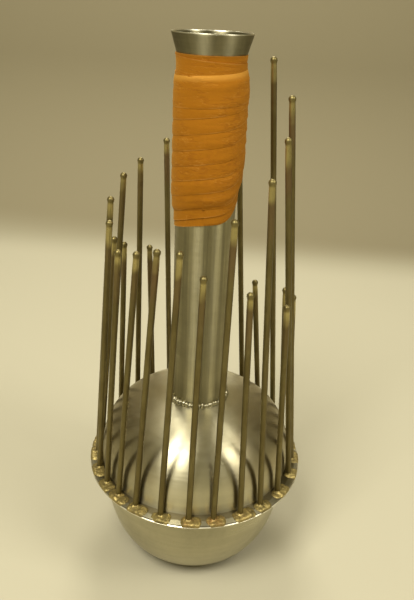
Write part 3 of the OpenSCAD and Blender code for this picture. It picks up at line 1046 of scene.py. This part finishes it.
class IDIOPHONE_OT_tape(Operator):
    """Wind the orange tape round the neck"""
    bl_idname = "idiophone.tape"
    bl_label = "Tape"

    def execute(self, context):
        s = settings()
        size = s.tape
        plan, visible = winding_plan(size)
        plan_turns = [p[0] for p in plan]
        plan_heights = [p[1] for p in plan]
        across = 18
        covered = CUFF_TURNS + 0.6
        cuff = np.arange(0, covered, 1 / SHOWN_STEPS)
        hidden = np.arange(covered, visible, 1 / HIDDEN_STEPS)
        bare = np.arange(visible, plan_turns[-1], 1 / SHOWN_STEPS)
        turns = np.concatenate([cuff, hidden, bare])
        low = WRAP_LOW.z - 12 * MM
        cell = 0.25 * MM
        cells = int((WRAP_HIGH.z + 4 * MM - low) / cell)
        levels = low + cell * np.arange(cells)
        ground = np.array([flare_radius(z, s.neck) for z in levels]) + 0.08 * MM
        build = np.tile(ground, (SHOWN_STEPS, 1))
        offsets = np.linspace(-0.5, 0.5, across + 1) * size.width
        grid = np.empty((len(turns), 2 * (across + 1), 3))
        crease = np.zeros((len(turns), 2 * (across + 1)))
        rubbed_and_lit = np.zeros((len(turns), 2 * (across + 1)))
        rim = np.clip((offsets - 5.5 * MM) / (2.5 * MM), 0, 1)
        tilts = foot_tilt()
        previous = None
        path = 0.0
        run = []
        laid = []
        from_edge = 0.5 * size.width - np.abs(offsets)
        pressed = np.clip(from_edge / (2.6 * MM), 0, 1)
        selvedge = 0.35 + 0.65 * np.clip(from_edge / (1.6 * MM), 0, 1)
        kernel = np.hanning(15)
        kernel /= kernel.sum()
        for i, turn in enumerate(turns):
            while laid and laid[0][0] < turn - 0.5:
                _, below, at, skin = laid.pop(0)
                span = (levels >= at[0]) & (levels <= at[-1])
                thick = np.interp(levels[span], at, skin)
                for near in below:
                    row = build[near]
                    row[span] = np.maximum(row[span], thick)
            angle = turn * math.tau
            middle = np.interp(turn, plan_turns, plan_heights)
            fade = np.clip((WRAP_HIGH.z - 12 * MM - middle) / (82 * MM), 0, 1)
            tilt = tilts[int(math.degrees(angle) + 180) % 360] * fade
            wander = 1.6 * MM * fade * noise.noise(Vector((turn * 1.3, 3.0, 0.0)))
            lean = 0.0
            if turn >= visible:
                lean = size.lean * math.sin(angle) * (1 - fade)
                # Marks the top edge of the last turns for a painted highlight on the ridge.
                rubbed_and_lit[i, :across + 1] = rim * np.clip((turn - plan_turns[-1]) * 4 + 5, 0, 1)
            heights = middle + tilt + wander + lean + offsets
            heights = np.clip(heights, levels[2], WRAP_HIGH.z - 0.1 * MM)
            sector = int(round(turn * SHOWN_STEPS)) % SHOWN_STEPS
            under = np.interp(heights, levels, build[sector])
            padded = np.pad(under, 7, mode="edge")
            soft = np.convolve(padded, kernel, mode="valid")
            inner = np.maximum(under, soft)
            if previous is not None:
                keep = 0.75 if turn < visible else 0.90
                inner = np.maximum(inner, keep * previous + (1 - keep) * inner - 0.02 * MM)
                inner = np.minimum(inner, under + 0.45 * MM)
            inner = under + (inner - under) * pressed
            previous = inner
            outer = inner + size.thickness * (selvedge if turn >= visible else 1.0)
            wide = 0 if turn >= visible or turn < covered else 2
            below = [(sector + near) % SHOWN_STEPS for near in range(-wide, wide + 1)]
            laid.append((turn, below, heights.copy(), outer.copy()))
            if turn >= visible:
                for j, z in enumerate(heights):
                    lift, crease[i, j] = crumple(angle, z, size)
                    outer[j] += lift
                outer = np.minimum(outer, WRAP_HIGH.x + 0.5 * MM)
            way = np.array([math.sin(angle), -math.cos(angle)])
            grid[i, :across + 1, :2] = outer[:, None] * way
            grid[i, :across + 1, 2] = heights
            grid[i, across + 1:, :2] = inner[::-1, None] * way
            grid[i, across + 1:, 2] = heights[::-1]
            run.append(path)
            if i + 1 < len(turns):
                path += (turns[i + 1] - turn) * math.tau * float(inner.mean())
        mesh = grid_mesh("tape", grid, over=True)
        # The crease mask marks where painted shade darkens the creases.
        store(mesh, "crease", crease)
        store(mesh, "rubbed_and_lit", rubbed_and_lit)
        map_strip(mesh, run, offsets)
        cloth = cloth_tape("Orange cloth tape", s.finish.tape, s.finish.tape_shade_and_soil)
        piece = add_piece("grip_tape", mesh, cloth, "orange_tape", ["grip_wrap"], math.radians(50))
        return {"FINISHED"}


LAMP_COLOUR = (1.0, 0.965, 0.86)
LAMPS = (("Lamp left", (-0.56, -0.90, 1.76), (0, 0, 0.12), (0.62, 0.8), 3.6),
         ("Lamp right", (1.08, -0.58, 1.48), (0, 0, 0.12), (0.50, 0.9), 1.6),
         ("Lamp over", (-0.05, 0.74, 1.20), (0, 0.20, 0.0), (0.42, 0.6), 0.9))


def add_lamp(name, place, target, size, watts):
    light = bpy.data.lights.new(name, "AREA")
    light.shape = "RECTANGLE"
    light.size, light.size_y = size
    light.energy = watts
    light.color = LAMP_COLOUR
    lamp = new_object(name, light)
    lamp.location = place
    lamp.rotation_euler = (Vector(target) - Vector(place)).to_track_quat("-Z", "Y").to_euler()


class IDIOPHONE_OT_stage(Operator):
    """Make the floor, backdrop, lamps and camera"""
    bl_idname = "idiophone.stage"
    bl_label = "Stage"

    def execute(self, context):
        s = settings()
        scene = bpy.context.scene
        bend = 0.30
        back = 1.0
        outline = [(-4.0, 0.0)]
        outline += [(back - bend + bend * math.sin(a), bend - bend * math.cos(a))
                    for a in np.linspace(0, math.pi / 2, 16)]
        outline.append((back, 1.8))
        points = np.array([[(x, y, z) for x in (-4.0, 4.0)] for y, z in outline])
        mesh = grid_mesh("sweep", points)
        mesh.flip_normals()
        mesh.materials.append(plain_sweep("Studio sweep", s.finish.floor, s.finish.wall))
        mesh.shade_smooth()
        new_object("studio_sweep", mesh)
        for name, place, target, size, share in LAMPS:
            add_lamp(name, place, target, size, s.stage.lamp * share)
        world = bpy.data.worlds.new("Studio")
        scene.world = world
        world.use_nodes = True
        ground = world.node_tree.nodes["Background"]
        ground.inputs["Color"].default_value = (0.80, 0.72, 0.44, 1.0)
        ground.inputs["Strength"].default_value = 0.34
        camera = new_object("Camera", bpy.data.cameras.new("Camera"))
        camera.data.lens = s.stage.lens
        camera.data.sensor_width = 36.0
        aim = (Matrix.Rotation(-s.stage.yaw, 4, "Z")
               @ Matrix.Rotation(math.pi / 2 - s.stage.pitch, 4, "X")
               @ Matrix.Rotation(s.stage.roll, 4, "Z"))
        camera.location = s.stage.camera_place
        camera.rotation_euler = aim.to_euler()
        camera.data.clip_start = 0.02
        scene.camera = camera
        scene.view_settings.view_transform = "Standard"
        return {"FINISHED"}


class IDIOPHONE_PT_builder(Panel):
    """Lists the steps that make the idiophone"""
    bl_idname = "IDIOPHONE_PT_builder"
    bl_label = "Rod idiophone"
    bl_space_type = "VIEW_3D"
    bl_region_type = "UI"
    bl_category = "Idiophone"

    def draw(self, context):
        for step in STEPS:
            self.layout.operator(step.bl_idname)


STEPS = (IDIOPHONE_OT_stage, IDIOPHONE_OT_shells, IDIOPHONE_OT_neck, IDIOPHONE_OT_rods,
         IDIOPHONE_OT_braze, IDIOPHONE_OT_tape)
GROUPS = (ShellSizes, NeckSizes, RodSizes, TapeSizes, Finishes, StageSizes,
          IdiophoneSettings)


def register():
    for group in GROUPS:
        bpy.utils.register_class(group)
    bpy.types.Scene.idiophone = PointerProperty(type=IdiophoneSettings)
    for step in STEPS + (IDIOPHONE_PT_builder,):
        bpy.utils.register_class(step)


def unregister():
    for step in (IDIOPHONE_PT_builder,) + STEPS[::-1]:
        bpy.utils.unregister_class(step)
    del bpy.types.Scene.idiophone
    for group in reversed(GROUPS):
        bpy.utils.unregister_class(group)


def main():
    register()
    bpy.ops.idiophone.stage()
    bpy.ops.idiophone.shells()
    bpy.ops.idiophone.neck()
    bpy.ops.idiophone.rods()
    bpy.ops.idiophone.braze()
    bpy.ops.idiophone.tape()


if __name__ == "__main__":
    main()
